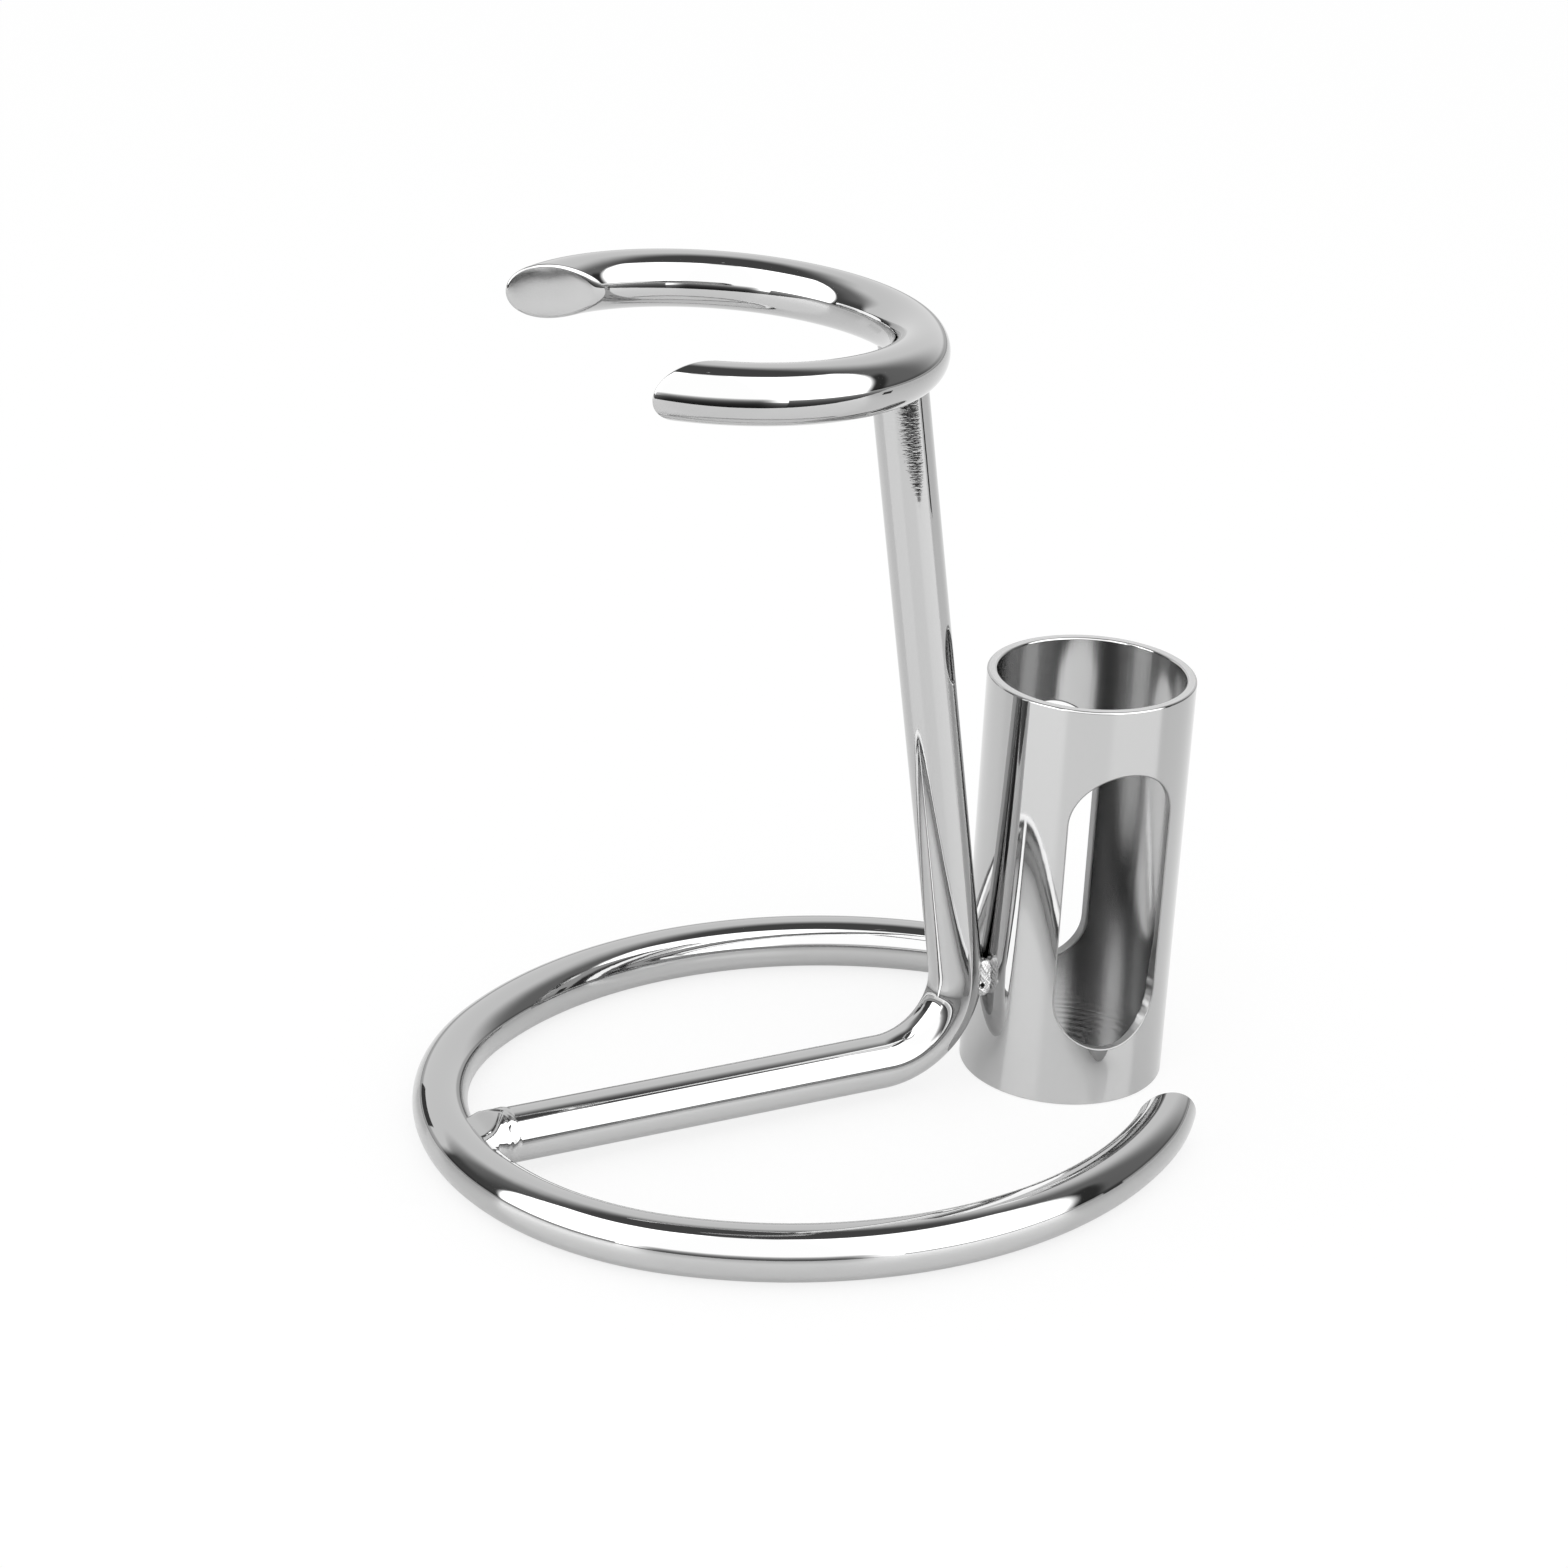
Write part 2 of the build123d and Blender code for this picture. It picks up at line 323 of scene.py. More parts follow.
def smooth_step(x, low, high):
    """0 below low, 1 above high and 3 w**2 - 2 w**3 between them, where w is the share of the way."""
    w = np.clip((x - low) / (high - low), 0, 1)
    return w * w * (3 - 2 * w)


def window(x, low, full, ebb, high):
    """0 outside low and high, 1 from full to ebb, with a smooth step on either side."""
    return smooth_step(x, low, full) * (1 - smooth_step(x, ebb, high))


def grid_normals(points, wrap, inside):
    """Cross product of the central differences along the rows and the columns, turned away from inside."""
    along = np.gradient(points, axis=0)
    if wrap:
        around = np.roll(points, -1, axis=1) - np.roll(points, 1, axis=1)
    else:
        around = np.gradient(points, axis=1)
    normals = unit(np.cross(around, along))
    return normals * np.sign(np.sum(normals * (points - inside)))


def patch(points, normals, wrap=True, finish=0):
    """A grid of points with their normals, and the number of its material, or one for each quad."""
    normals = np.broadcast_to(normals, points.shape)
    return SimpleNamespace(points=points, normals=normals, wrap=wrap, finish=finish)


def patch_quads(part, first):
    """Corner numbers of the quads between neighbouring rows and columns, turned to face along the normals."""
    rows, columns = part.points.shape[:2]
    i, j = np.meshgrid(np.arange(rows - 1), np.arange(columns if part.wrap else columns - 1), indexing="ij")
    k = (j + 1) % columns
    row = i * columns
    quads = np.stack([row + j, row + k, row + columns + k, row + columns + j], axis=-1).reshape(-1, 4)
    points = part.points.reshape(-1, 3)
    normals = part.normals.reshape(-1, 3)
    diagonals = np.cross(points[quads[:, 2]] - points[quads[:, 0]], points[quads[:, 3]] - points[quads[:, 1]])
    backwards = np.sum(diagonals * normals[quads].sum(axis=1), axis=1) < 0
    quads[backwards] = quads[backwards][:, ::-1]
    return quads + first


def link_object(name, data):
    """Puts an object with this data into the scene."""
    new = bpy.data.objects.new(name, data)
    bpy.context.scene.collection.objects.link(new)
    return new


def make_piece(name, parts, materials, slot, *nodes):
    """Joins patches to one mesh, in which equal points are one vertex, and lets it stand for CAD nodes."""
    points = np.concatenate([part.points.reshape(-1, 3) for part in parts])
    normals = np.concatenate([part.normals.reshape(-1, 3) for part in parts])
    firsts = np.cumsum([0] + [part.points.size // 3 for part in parts])
    faces = [patch_quads(part, first) for part, first in zip(parts, firsts)]
    quads = np.concatenate(faces)
    finish = np.concatenate([np.broadcast_to(part.finish, len(face)) for part, face in zip(parts, faces)])
    places = np.round(points / SAME_POINT).astype(np.int64)
    _, kept, number = np.unique(places, axis=0, return_index=True, return_inverse=True)
    quads = number.reshape(-1)[quads]
    # a quad with two equal corners, as round a pole, is a triangle
    equal_next = quads == np.roll(quads, -1, axis=1)
    whole = ~equal_next.any(axis=1)
    single = equal_next.sum(axis=1) == 1
    shift = (np.argmax(equal_next[single], axis=1)[:, None] + np.arange(3)) % 4
    triangles = np.take_along_axis(quads[single], (shift + 1) % 4, axis=1)
    corners = np.concatenate([quads[whole].ravel(), triangles.ravel()])
    sizes = np.concatenate([np.full(whole.sum(), 4), np.full(single.sum(), 3)])
    starts = np.concatenate([[0], np.cumsum(sizes)[:-1]])
    finishes = np.concatenate([finish[whole], finish[single]])
    mesh = bpy.data.meshes.new(name)
    mesh.vertices.add(len(kept))
    mesh.vertices.foreach_set("co", points[kept].ravel())
    mesh.loops.add(len(corners))
    mesh.loops.foreach_set("vertex_index", corners.astype(np.int32))
    mesh.polygons.add(len(sizes))
    mesh.polygons.foreach_set("loop_start", starts.astype(np.int32))
    mesh.polygons.foreach_set("material_index", finishes.astype(np.int32))
    mesh.polygons.foreach_set("use_smooth", np.ones(len(sizes), bool))
    mesh.update(calc_edges=True)
    for material in materials:
        mesh.materials.append(material)
    mesh.normals_split_custom_set_from_vertices(normals[kept])
    piece = link_object(name, mesh)
    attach(piece, BODY)
    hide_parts(*nodes)


# ---------------------------------------------------------------- bars that are cut by planes
def cut_bar(place, cut, cut_normals, radius, edge, along, around):
    """Round bar between two planes, with rounded edges at flat ends.

    place(theta, reach, rise) is the point reach outwards and rise upwards of the centreline at theta,
    and cut(side, reach, rise, behind) is the theta at which the line through reach and rise meets the
    plane of that side, moved behind into the bar. On the rounded edge, at the angle a from the cut
    face, the bar's radius is radius - edge (1 - sin a), edge (1 - cos a) behind the cut. The buffed
    faces shade as if slightly domed: their normals lean out by CUT_DOME times the share squared.
    """
    phi = circle(around)
    a = column(0, pi / 2, 8)
    edge_radius = radius - edge * (1 - np.sin(a))
    edge_behind = edge * (1 - np.cos(a))
    edge_reach = edge_radius * np.cos(phi)
    edge_rise = edge_radius * np.sin(phi)
    first, last = (cut(side, edge_reach, edge_rise, edge_behind) for side in (1, -1))
    t = np.linspace(0, 1, along)[1:-1, None]
    body = first[-1] + (last[-1] - first[-1]) * t
    theta = np.concatenate([first, body, last[::-1]])
    row_radius = np.concatenate([edge_radius, np.full_like(t, radius), edge_radius[::-1]])
    edge_lean = CUT_DOME + (1 - CUT_DOME) * np.sin(a)
    lean = np.concatenate([edge_lean, np.ones_like(t), edge_lean[::-1]])
    half = len(theta) // 2
    points = place(theta, row_radius * np.cos(phi), row_radius * np.sin(phi))
    centres = place(theta, 0, 0)
    radial = unit(points - centres)
    end_normals = np.where((np.arange(len(theta)) < half)[:, None, None], cut_normals[0], cut_normals[1])
    lean = lean[:, :, None]
    parts = [patch(points, unit(radial * lean + end_normals * np.sqrt(1 - lean**2)))]
    share = column(1, 0, 7)
    for side, normal in zip((1, -1), cut_normals):
        flat = share * (radius - edge)
        reach = flat * np.cos(phi)
        rise = flat * np.sin(phi)
        face = place(cut(side, reach, rise, 0), reach, rise)
        lean = (CUT_DOME * share**2)[..., None]
        outwards = unit(face - face[-1])
        parts.append(patch(face, unit(outwards * lean + normal * np.sqrt(1 - lean**2)), finish=1))
    return parts


def build_base_ring():
    """Open oval of four arcs, each point at centre + (arc radius + reach) (cos theta, sin theta)."""
    s = bpy.context.scene.stand_sizes
    p = layout()
    flare = s.gap_flare

    def place(theta, reach, rise):
        from_x = np.abs((theta + pi / 2) % pi - pi / 2)
        on_end = from_x <= s.base_end_turn
        centre_x = np.where(on_end, p.end_centre * np.sign(np.cos(theta)), 0)
        centre_y = np.where(on_end, 0, -p.side_centre * np.sign(np.sin(theta)))
        out = np.where(on_end, p.end_radius, p.side_radius) + reach
        x = centre_x + out * np.cos(theta)
        y = centre_y + out * np.sin(theta)
        return grid(x, y, p.r + rise)

    def cut(side, reach, rise, behind):
        distance = p.gap_at_centre / 2 * cos(flare) + p.end_centre * sin(flare) + behind
        theta = flare + np.arcsin(distance / (p.end_radius + reach))
        return theta if side > 0 else 2 * pi - theta

    cut_normals = (np.array([sin(flare), -cos(flare), 0]), np.array([sin(flare), cos(flare), 0]))
    return cut_bar(place, cut, cut_normals, p.r, s.end_break, steps(560), steps(96))


def build_brush_ring():
    """Open circle, each point at (radius + reach) (cos theta, sin theta) in the ring's tilted plane."""
    s = bpy.context.scene.stand_sizes
    p = layout()
    flare = tan(s.mouth_flare)
    cant_cos = cos(s.mouth_cant)
    cant_sin = sin(s.mouth_cant)
    slope = sqrt(1 + flare**2)

    def in_frame(x, y, z):
        x, y, z = np.broadcast_arrays(x, y, z)
        level = p.ring_centre + x[..., None] * p.ring_x_axis + y[..., None] * (0, 1, 0)
        return level + z[..., None] * p.ring_z_axis

    def place(theta, reach, rise):
        out = s.ring_radius + reach
        return in_frame(out * np.cos(theta), out * np.sin(theta), rise)

    def cut(side, reach, rise, behind):
        distance = s.mouth_width / 2 + behind * slope - side * rise * cant_sin
        amplitude = (s.ring_radius + reach) * sqrt(cant_cos**2 + flare**2)
        return side * (pi - np.arcsin(distance / amplitude) - atan2(flare, cant_cos))

    cut_normals = [
        unit(in_frame(-flare, -side * cant_cos, -side * cant_sin) - p.ring_centre) for side in (1, -1)
    ]
    return cut_bar(place, cut, cut_normals, p.r, s.end_break, steps(420), steps(96))


def post_end(p, reach, aside, gap):
    """Distance along the post at which the line reach out of and aside from its axis meets the ring.

    Halves the span between a place below the ring and the post's end again and again, always keeping
    the half in which the distance to the ring's centreline passes the bar radius.
    """
    s = bpy.context.scene.stand_sizes
    line = p.post_start + reach[..., None] * p.out_of_post + aside[..., None] * np.array([0, 1, 0])
    low = np.full(reach.shape, p.seat - 4 * p.r)
    high = np.full(reach.shape, p.seat + s.post_reach)
    for _ in range(HALVINGS):
        middle = (low + high) / 2
        arm = line + middle[..., None] * p.along_post - p.ring_centre
        rise = arm @ p.ring_z_axis
        flat = np.linalg.norm(arm - rise[..., None] * p.ring_z_axis, axis=-1) - s.ring_radius
        outside = np.hypot(flat, rise) > p.r + gap
        low = np.where(outside, middle, low)
        high = np.where(outside, high, middle)
    return low


def post_neck(p, phi, along):
    """How far the post's top is ground back: it grows with the height, on the inner side at the back."""
    inner_side = smooth_step(np.cos(phi - NECK_TURN), 0.0, 0.8)
    near_top = smooth_step(along, p.seat - NECK_LENGTH, p.seat - NECK_FULL)
    return bpy.context.scene.stand_sizes.post_neck * inner_side * near_top


def build_upright():
    """Spoke, bend and post as one bar: each point is the axis + r (cos phi outwards + sin phi along Y).

    The bending die left a few faint wrinkles across the bend's inner side: a sine of 60 times the angle
    turned, under a bell curve whose middle is at 60 degrees.
    """
    s = bpy.context.scene.stand_sizes
    p = layout()
    phi = circle(steps(112))
    y_axis = np.array([0, 1, 0])
    # spoke: its end follows the base ring's inner side
    height = s.spoke_height - p.r * np.cos(phi)
    beside = np.sqrt(np.maximum(p.r**2 - (height - p.r) ** 2, 0))
    inner_side = -p.end_centre - np.sqrt((p.end_radius - beside) ** 2 - (p.r * np.sin(phi)) ** 2)
    start = np.maximum(np.where(np.abs(height - p.r) < p.r, inner_side, p.spoke_x), p.spoke_x)
    start = start + s.spoke_melt * smooth_step(-np.cos(phi), 0.0, 0.9)
    t = column(0, 1, 150)
    x = start + (p.bend_x - start) * t
    spoke = grid(x, p.r * np.sin(phi), height)
    spoke_axis = grid(x, 0, s.spoke_height)
    # bend
    a = column(0, p.turn, 120)
    inner = smooth_step(-np.cos(phi), 0.55, 0.95)
    middle = np.exp(-(((np.degrees(a) - 60) / 6) ** 2))
    radius = p.r - BEND_WRINKLE * inner * (middle * np.sin(60 * a + 1.7 * np.sin(phi)))
    out = s.bend_radius + radius * np.cos(phi)
    bend = grid(p.bend_x + out * np.sin(a), radius * np.sin(phi), p.bend_z - out * np.cos(a))
    bend_axis = grid(p.bend_x + s.bend_radius * np.sin(a), 0, p.bend_z - s.bend_radius * np.cos(a))
    # post: its end is coped to the brush ring
    top_radius = p.r - post_neck(p, phi, p.seat)
    reach = top_radius * np.cos(phi)
    aside = top_radius * np.sin(phi)
    end = post_end(p, reach, aside, 0.0)
    t = column(0, 1, 300)
    radius = (p.r - post_neck(p, phi, end * t))[..., None]
    offsets = radius * (np.cos(phi)[..., None] * p.out_of_post + np.sin(phi)[..., None] * y_axis)
    post = p.post_start + offsets + (end * t)[..., None] * p.along_post
    points = np.concatenate([spoke, bend[1:-1], post])
    axis = np.concatenate([spoke_axis, np.broadcast_to(bend_axis, bend.shape)[1:-1], post - offsets])
    parts = [patch(points, grid_normals(points, True, axis))]
    share = column(1, 0, 8)
    foot = np.array([p.spoke_x, 0, s.spoke_height])
    parts.append(patch(foot + (spoke[:1] - foot) * share[..., None], np.array([-1, 0, 0])))
    reach = share * reach
    aside = share * aside
    cope = post_end(p, reach, aside, 0.0)
    level = p.post_start + reach[..., None] * p.out_of_post + aside[..., None] * y_axis
    top = level + cope[..., None] * p.along_post
    parts.append(patch(top, grid_normals(top, True, top - p.along_post)))
    return parts


# ---------------------------------------------------------------- razor tube
def on_tube(p, turn, radius, up):
    """Point at an angle round the razor tube's axis, a radius and a height."""
    return grid(p.tube_x + radius * np.cos(turn), radius * np.sin(turn), up)


def slot_outline(end_turn, drop, r, low, high):
    """Across and up values round an upright slot, from its upper left corner over the top, clockwise."""
    tall = high - low - 2 * r
    side = np.full(len(drop), r)
    top = high - r
    foot = low + r
    across = np.concatenate([r * np.cos(end_turn), side, r * np.cos(end_turn - pi), -side])
    up = np.concatenate([
        top + r * np.sin(end_turn), top - tall * drop, foot + r * np.sin(end_turn - pi), foot + tall * drop,
    ])
    return across, up


def slot_side(p, facing, across, up, low, high):
    """Side of a slot: a profile of pairs of outline growth and radius, carried round the outline.

    The profile is a rounded edge outside, the straight cut, and a rounded edge inside. At the front
    slot's lower right, the growth inside is less by the filed wall's uneven slant. The outline grows
    straight across at the slot's sides and away from its ends' middles.
    """
    t = bpy.context.scene.tube_sizes
    r = t.slot_width / 2
    is_front = facing < 0
    where = np.linspace(0, 2 * pi, len(up), endpoint=False)
    near_foot = 1 - smooth_step(up, low + FILED_FULL, low + FILED_TOP)
    filed = near_foot * smooth_step(across, 0.2 * r, 0.9 * r) * is_front
    uneven = 1 + 0.16 * np.sin(37 * where) + 0.12 * np.sin(61 * where + 1.0) + 0.1 * np.sin(113 * where)
    # only the front slot's inner edge is broken wide, and less so where its wall slants
    outer_break = np.full_like(up, t.slot_break)
    inner_break = (t.slot_inner_break if is_front else t.slot_break) - FILED_BREAK * filed
    a = column(0, pi / 2, 7)
    away = 1 - np.cos(a)
    below = 1 - np.sin(a)
    growth = np.concatenate([outer_break * below, inner_break * below[::-1] - t.burr * filed * uneven])
    radius = np.concatenate([p.outer - outer_break * away, p.inner + inner_break * away[::-1]])
    grow = unit(np.stack([across, up - np.clip(up, low + r, high - r)], axis=-1))
    turn = facing + np.arcsin((across + growth * grow[:, 0]) / radius)
    height = up + growth * grow[:, 1]
    points = on_tube(p, turn, radius, height)
    centre_line = on_tube(p, facing, radius, np.clip(height, low + r, high - r))
    normals = -grid_normals(points, True, centre_line)
    outwards = unit(points - on_tube(p, turn, 0, height))
    normals[0] = outwards[0]
    normals[-1] = -outwards[-1]
    return turn, height, patch(points, normals, finish=3)


def half_tube(p, facing, half_turn):
    """Half of the tube's wall, outside and inside, round its slot.

    Each face is one grid from the slot's outline to the half's own edge: a point is (1 - w) outline +
    w edge, in angle and height.
    """
    t = bpy.context.scene.tube_sizes
    rim = t.rim_break
    low = t.slot_bottom
    high = p.tube_height - t.slot_top_margin
    count = len(half_turn)
    drop = np.linspace(0, 1, steps(80), endpoint=False)
    end_turn = np.linspace(pi, 0, count, endpoint=False)
    across, up = slot_outline(end_turn, drop, t.slot_width / 2, low, high)
    side_turn, side_up, side = slot_side(p, facing, across, up, low, high)
    parts = [side]
    quarter = np.full(len(drop), pi / 2)
    edge_turn = np.concatenate([half_turn, quarter, -half_turn, -quarter])
    crown = p.tube_height - rim
    level = np.ones(count)
    w = column(0, 1, 26) ** 1.25
    for radius, row, sign, foot in ((p.outer, 0, 1, rim), (p.inner, -1, -1, p.floor_top)):
        tall = crown - foot
        edge_up = np.concatenate([crown * level, crown - tall * drop, foot * level, foot + tall * drop])
        turn = facing + (1 - w) * (side_turn[row] - facing) + w * edge_turn
        height = (1 - w) * side_up[row] + w * edge_up
        wall = on_tube(p, turn, radius, height)
        outwards = unit(wall - on_tube(p, turn, 0, height))
        parts.append(patch(wall, sign * outwards, finish=0 if sign > 0 else 1))
    return parts


def tube_ends(p, around):
    """Rim, foot and rebate: profiles of radius and height carried round the tube."""
    t = bpy.context.scene.tube_sizes
    rim = t.rim_break
    a = column(0, pi / 2, 7)
    flat = np.linspace(p.outer - rim, p.inner + rim, steps(5))[1:-1, None]
    level = np.zeros_like(flat)
    away = 1 - np.cos(a)
    below = 1 - np.sin(a)
    top = p.tube_height
    radius = np.concatenate([p.outer - rim * away, flat, p.inner + rim * away[::-1]])
    height = np.concatenate([top - rim * below, level + top, top - rim * below[::-1]])
    out = on_tube(p, around, 1.0, 0.0) - on_tube(p, around, 0.0, 0.0)
    up_axis = np.array([0, 0, 1])
    lean_out = np.concatenate([np.cos(a), level, -np.cos(a[::-1])])[..., None]
    lean_up = np.concatenate([np.sin(a), level + 1, np.sin(a[::-1])])[..., None]
    points = on_tube(p, around, radius, height)
    normals = lean_out * out + lean_up * up_axis
    count = len(a)
    parts = []
    for rows, finish in ((slice(count), 0), (slice(count - 1, 1 - count), 2), (slice(-count, None), 0)):
        parts.append(patch(points[rows], normals[rows], finish=finish))
    foot = on_tube(p, around, p.outer - rim * away, rim * below)
    parts.append(patch(foot, np.cos(a)[..., None] * out - np.sin(a)[..., None] * up_axis))
    # under the foot, up the rebate and under its step
    rebate = p.inner + t.rebate
    corners = ((p.outer - rim, 0.0), (rebate, 0.0), (rebate, p.floor_top), (p.inner, p.floor_top))
    for start, end, normal in zip(corners, corners[1:], (-up_axis, -out, -up_axis)):
        radius, height = np.transpose([start, end])[..., None]
        parts.append(patch(on_tube(p, around, radius, height), normal, finish=1))
    return parts


def build_razor_tube():
    """Upright tube: two halves of wall with a slot each, and the ends that both halves share."""
    p = layout()
    slot_turn = bpy.context.scene.tube_sizes.slot_turn
    half_turn = np.linspace(-pi / 2, pi / 2, steps(60), endpoint=False)
    turns = (-pi / 2 - slot_turn, pi / 2 - slot_turn)
    around = np.concatenate([turn + half_turn for turn in turns])[None, :]
    return [*half_tube(p, turns[0], half_turn), *half_tube(p, turns[1], half_turn), *tube_ends(p, around)]


# ---------------------------------------------------------------- welds
def lumps(u, v, seed):
    """Uneven height between about -1 and 1: the sum of height * sin(a u + b v + c seed) over WAVES."""
    return sum(height * np.sin(a * u + b * v + c * seed) for height, a, b, c in WAVES)


def build_base_weld():
    """Collar round the spoke's end: a hollow fillet at the ring that ends in a low step on the spoke.

    Its distance from the spoke's axis is r + a fillet that falls as e**(-distance from the ring) + the
    step's rise. Over the top lies a level web, which climbs smoothly from the ring's crest and narrows
    towards the spoke: its distance is level / -cos phi as long as it lies within the web's half width.
    """
    s = bpy.context.scene.stand_sizes
    w = bpy.context.scene.weld_sizes
    p = layout()
    phi = circle(steps(128))
    t = column(0, 1, 72)
    buried = 1.9 * MM
    step_width = 0.8 * MM
    sunk_toe = 0.03 * MM
    fillet_height = 0.15 * MM
    fillet_reach = 0.5 * MM
    wave_height = 0.05 * MM
    x = p.spoke_x - buried + (w.base_reach + buried) * t
    from_ring = x - p.spoke_x
    out_of_ring = np.maximum(from_ring, 0)
    toe = 1 - smooth_step(from_ring, w.base_reach - step_width, w.base_reach)
    fillet = fillet_height * np.exp(-out_of_ring / fillet_reach)
    waves = lumps(1.5 * phi, from_ring / MM * 1.1, 2.2) * smooth_step(from_ring, 0.6 * MM, 1.8 * MM)
    collar = p.r + toe * (w.base_rise + wave_height * waves) + fillet * toe - sunk_toe
    # a dent in the collar's flank, beside the end of the web
    dent_depth = 0.28 * MM
    dent_turn = radians(229)
    from_dent = np.hypot((from_ring - 2.1 * MM) / (0.38 * MM), (phi - dent_turn) / 0.17)
    collar = collar - dent_depth * np.exp(-(from_dent**2))
    # the web over the top, whose edges droop, and which is wider at the back near the ring
    web_width = 2.6 * MM
    web_end = 0.5 * MM
    web_edge = 0.3 * MM
    droop = 0.22 * MM
    crest = 2 * p.r - s.spoke_height - 0.4 * MM
    climb = smooth_step(from_ring, -1.9 * MM, 2.0 * MM)
    level = crest + (p.r + w.base_rise - crest) * climb
    upwards = np.maximum(-np.cos(phi), 0.2)
    half_width = (web_width + web_end) * (1 - smooth_step(from_ring, -0.5 * MM, 2.6 * MM)) - web_end
    half_width = half_width + 0.7 * MM * np.exp(-out_of_ring / (0.8 * MM)) * (np.sin(phi) > 0)
    aside = level * np.abs(np.sin(phi)) / upwards
    on_web = smooth_step(half_width - aside, -web_edge, web_edge)
    drop = droop * smooth_step(aside, half_width - 0.9 * MM, half_width)
    radius = (1 - on_web) * collar + on_web * ((level - drop) / upwards + 0.02 * MM * waves)
    height = np.maximum(s.spoke_height - radius * np.cos(phi), 0.03 * MM)
    points = grid(x, radius * np.sin(phi), height)
    axis = grid(x, 0, s.spoke_height)
    return [patch(points, grid_normals(points, True, axis))] + end_caps(points)


def end_caps(points):
    """Closes both ends of a tube-like grid with a fan to the middle of its first and last row."""
    inwards = unit(points[0].mean(axis=0) - points[1].mean(axis=0))
    outwards = unit(points[-1].mean(axis=0) - points[-2].mean(axis=0))
    parts = []
    for row, normal in ((points[0], inwards), (points[-1], outwards)):
        middle = np.broadcast_to(row.mean(axis=0), row.shape)
        parts.append(patch(np.stack([row, middle]), normal))
    return parts


def build_ring_weld():
    """Hollow fillet round the post's top: radius r + rise u**2, reach (1 - u)**1.5 below the ring."""
    w = bpy.context.scene.weld_sizes
    p = layout()
    phi = circle(steps(128))
    u = column(0, 1, 24)
    beside = np.abs(np.sin(phi))
    sunk = 0.02 * MM
    overlap = 0.03 * MM
    unevenness = 0.04 * MM * lumps(2 * phi, 3 * u, 4.0)
    radius = p.r - post_neck(p, phi, p.seat) - sunk + beside * (w.ring_rise * u**2 + unevenness * u)
    reach = radius * np.cos(phi)
    aside = radius * np.sin(phi)
    below = w.ring_reach * (1 - u) ** 1.5 * (1 + 0.25 * np.sin(3 * phi + 1)) * beside
    length_along = post_end(p, reach, aside, -overlap) - below
    y_axis = np.array([0, 1, 0])
    axis = p.post_start + length_along[..., None] * p.along_post
    points = axis + reach[..., None] * p.out_of_post + aside[..., None] * y_axis
    return [patch(points, grid_normals(points, True, axis))] + end_caps(points)


def build_tube_weld(side, seed, pinhole):
    """Crinkled bead: a round-ended column whose radius is r (1 - |2u - 1|**5)**0.5 (1 + lumps).

    The gas hole is a dent with the depth d exp(-(q / hole)**4) at the distance q from its middle.
    """
    w = bpy.context.scene.weld_sizes
    s = bpy.context.scene.stand_sizes
    p = layout()
    span = p.tube_x - p.bend_out
    from_bar = p.r + w.bead_sit
    from_tube = p.outer + w.bead_sit
    along = (span**2 + from_bar**2 - from_tube**2) / (2 * span)
    aside = sqrt(from_bar**2 - along**2)
    middle_z = s.spoke_height + s.bend_radius + w.bead_lift
    middle = np.array([p.bend_out + along - w.bead_shift, side * aside, middle_z])
    phi = circle(steps(96))
    u = column(0.002, 0.998, 110)
    profile = np.sqrt(np.maximum(1 - np.abs(2 * u - 1) ** 5, 0))
    pit_depth = 0.6 * MM
    crinkle = 0.12 * lumps(3 * phi, 16 * u, seed) + 0.08 * lumps(7 * phi, 41 * u, seed + 2)
    # a round bulge on the bar's side of the lower half
    bulge = 0.35 * np.exp(-(((u - 0.27) / 0.16) ** 2)) * smooth_step(np.cos(phi - pi), -0.2, 1.0)
    radius = w.bead_radius * profile * (0.93 + crinkle * profile + bulge)
    height = (u - 0.5) * w.bead_length
    finish = 0
    if pinhole:
        # the hole faces the camera's side and lies below the bead's middle
        turn = (phi - side * (pi / 2 + w.pinhole_turn) + pi) % (2 * pi) - pi
        q = np.hypot(turn * w.bead_radius, height + w.pinhole_drop)
        dent = np.exp(-((q / w.pinhole) ** 4))
        radius = radius - pit_depth * dent
        # the hole's bottom gets the near-black pit colour: painted shade of the deep hole
        finish = (dent[:-1] > 0.5).astype(int).ravel()
    points = middle + grid(radius * np.cos(phi), radius * np.sin(phi), height)
    axis = middle + grid(0, 0, height)
    return [patch(points, grid_normals(points, True, axis), finish=finish)] + end_caps(points)


# ---------------------------------------------------------------- materials
def add(tree, kind, inputs=None, **settings):
    """Adds a node. An input is a value, a socket, or a node whose first output it takes."""
    new = tree.nodes.new("ShaderNode" + kind)
    for name, value in settings.items():
        setattr(new, name, value)
    for name, value in (inputs or {}).items():
        if isinstance(value, bpy.types.Node):
            value = value.outputs[0]
        if isinstance(value, bpy.types.NodeSocket):
            tree.links.new(value, new.inputs[name])
        else:
            new.inputs[name].default_value = value
    return new


def new_material(name):
    """A material without nodes, and its node tree."""
    material = bpy.data.materials.new(name)
    material.use_nodes = True
    material.node_tree.nodes.clear()
    return material, material.node_tree


def shade(tree, tone, inputs):
    """Ends a material in a shader with one of the stand's colours."""
    base_colour = getattr(bpy.context.scene.stand_colours, tone)
    shader = add(tree, "BsdfPrincipled", {"Base Color": (*base_colour, 1.0), **inputs})
    add(tree, "OutputMaterial", {"Surface": shader})


def shine(tree, strength):
    """Ends a material in plain white light."""
    add(tree, "OutputMaterial", {"Surface": add(tree, "Emission", {"Strength": strength})})


